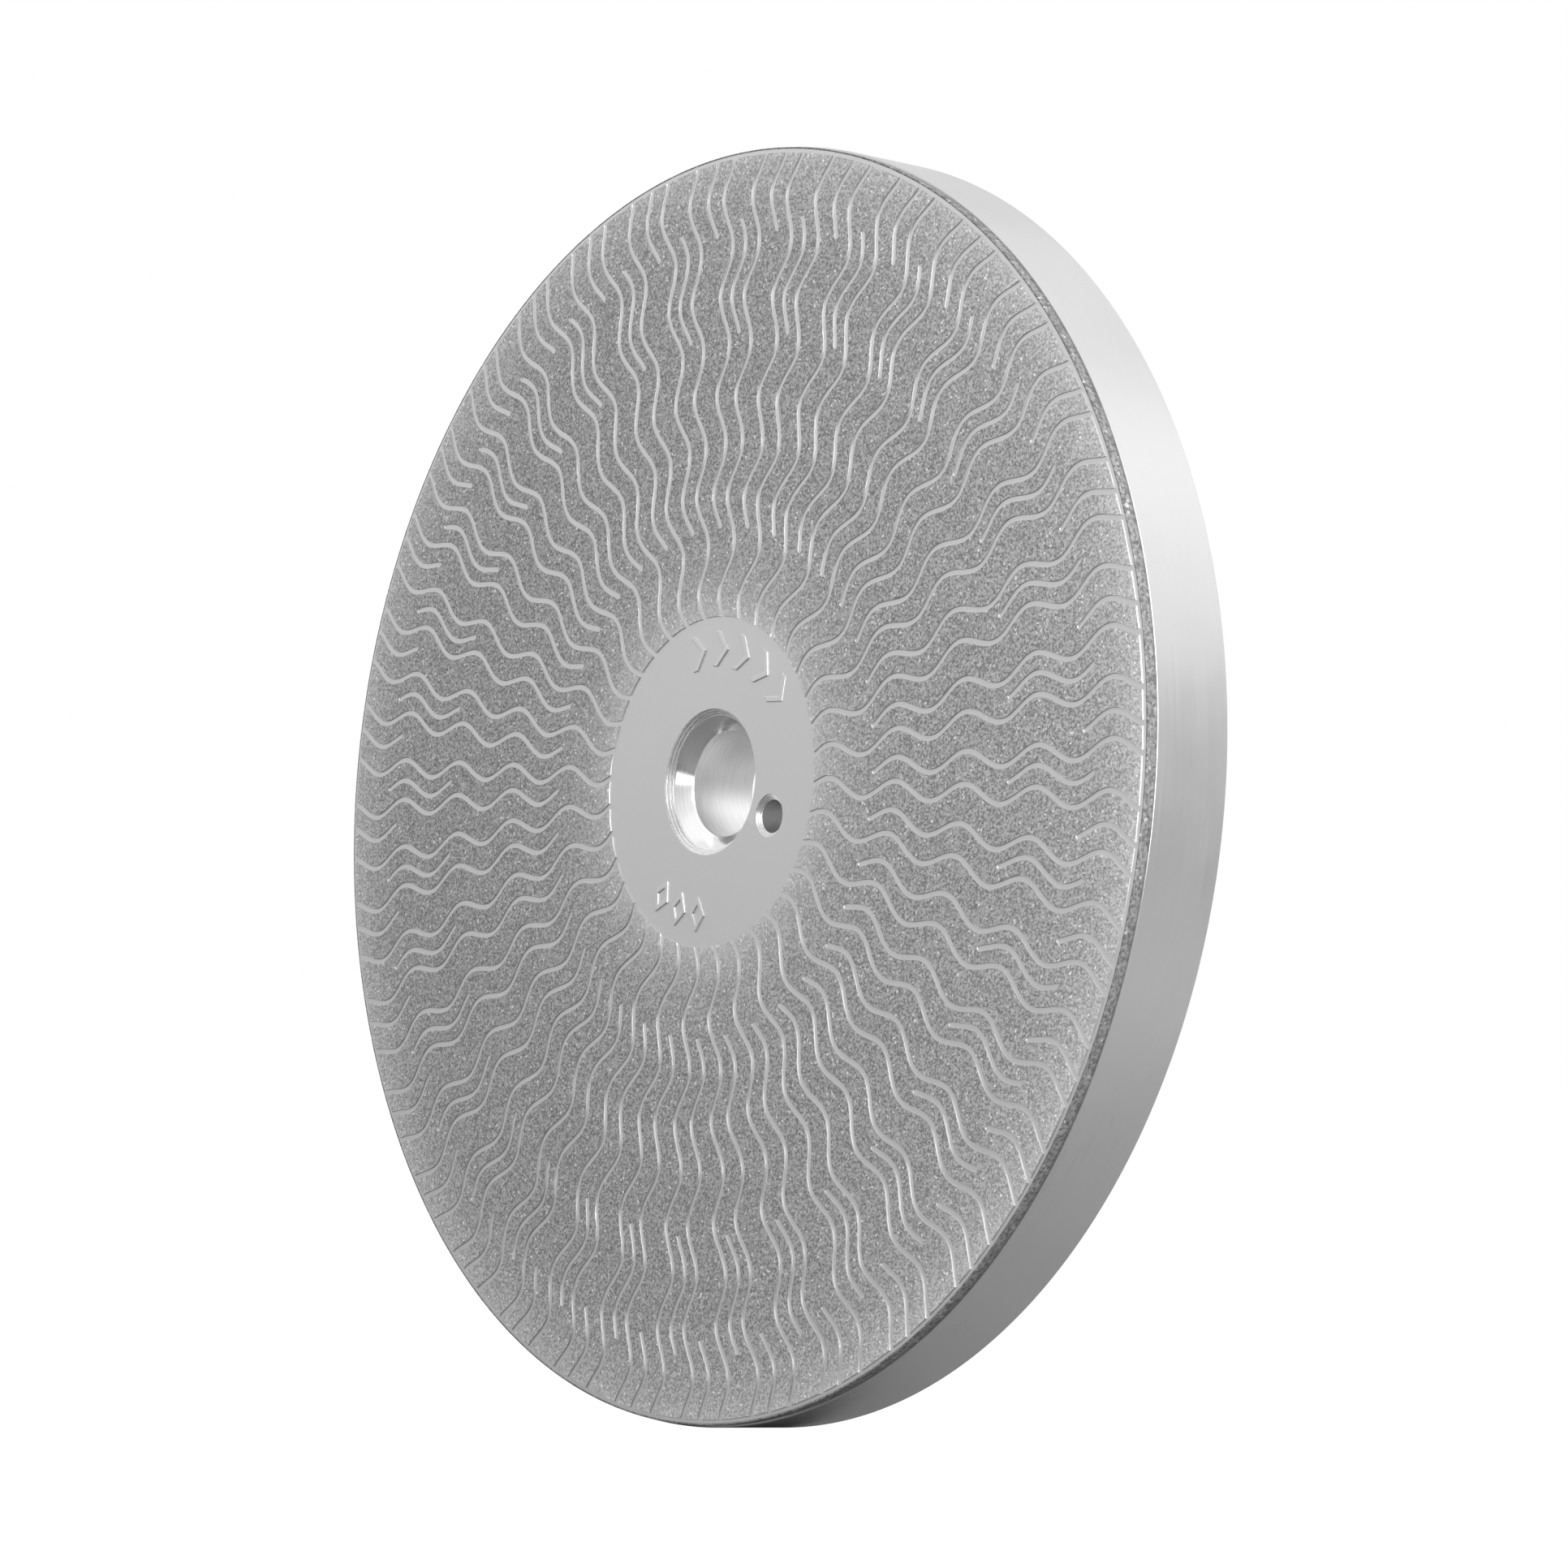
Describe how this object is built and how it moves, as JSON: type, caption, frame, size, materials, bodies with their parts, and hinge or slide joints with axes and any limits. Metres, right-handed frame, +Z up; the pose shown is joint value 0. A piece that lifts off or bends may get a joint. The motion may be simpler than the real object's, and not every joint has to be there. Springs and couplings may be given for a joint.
{
  "type": "diamond grinding wheel",
  "caption": "Flat round lapidary face wheel: a thick aluminium disc with a diamond coat on its front, cut by waved grooves, an arbor bore and a drive pin hole.",
  "frame": {"origin": "centre of the arbor bore, at the middle of the body's thickness", "axes": "+Y along the wheel's axis, from the coated face towards the plain back; +Z up, with the wheel upright"},
  "size_m": [0.1524, 0.0118, 0.1524],
  "materials": {
    "turned_aluminium": "turned satin aluminium",
    "face_coat": "matt nickel-bonded diamond grit",
    "band_coat": "dark matt nickel-bonded diamond grit"
  },
  "bodies": {
    "root": {"wheel_body": "turned_aluminium", "rim_band": "band_coat", "face_land_01": "face_coat", "face_land_02": "face_coat", "face_land_03": "face_coat", "face_land_04": "face_coat", "face_land_05": "face_coat", "face_land_06": "face_coat", "face_land_07": "face_coat", "face_land_08": "face_coat", "face_land_09": "face_coat", "face_land_10": "face_coat", "face_land_11": "face_coat", "face_land_12": "face_coat", "face_land_13": "face_coat", "face_land_14": "face_coat", "face_land_15": "face_coat", "face_land_16": "face_coat", "face_land_17": "face_coat", "face_land_18": "face_coat", "face_land_19": "face_coat", "face_land_20": "face_coat", "face_land_21": "face_coat", "face_land_22": "face_coat", "face_land_23": "face_coat", "face_land_24": "face_coat", "face_land_25": "face_coat", "face_land_26": "face_coat", "face_land_27": "face_coat", "face_land_28": "face_coat", "face_land_29": "face_coat", "face_land_30": "face_coat", "face_land_31": "face_coat", "face_land_32": "face_coat", "face_land_33": "face_coat", "face_land_34": "face_coat", "face_land_35": "face_coat", "face_land_36": "face_coat"}
  },
  "joints": []
}
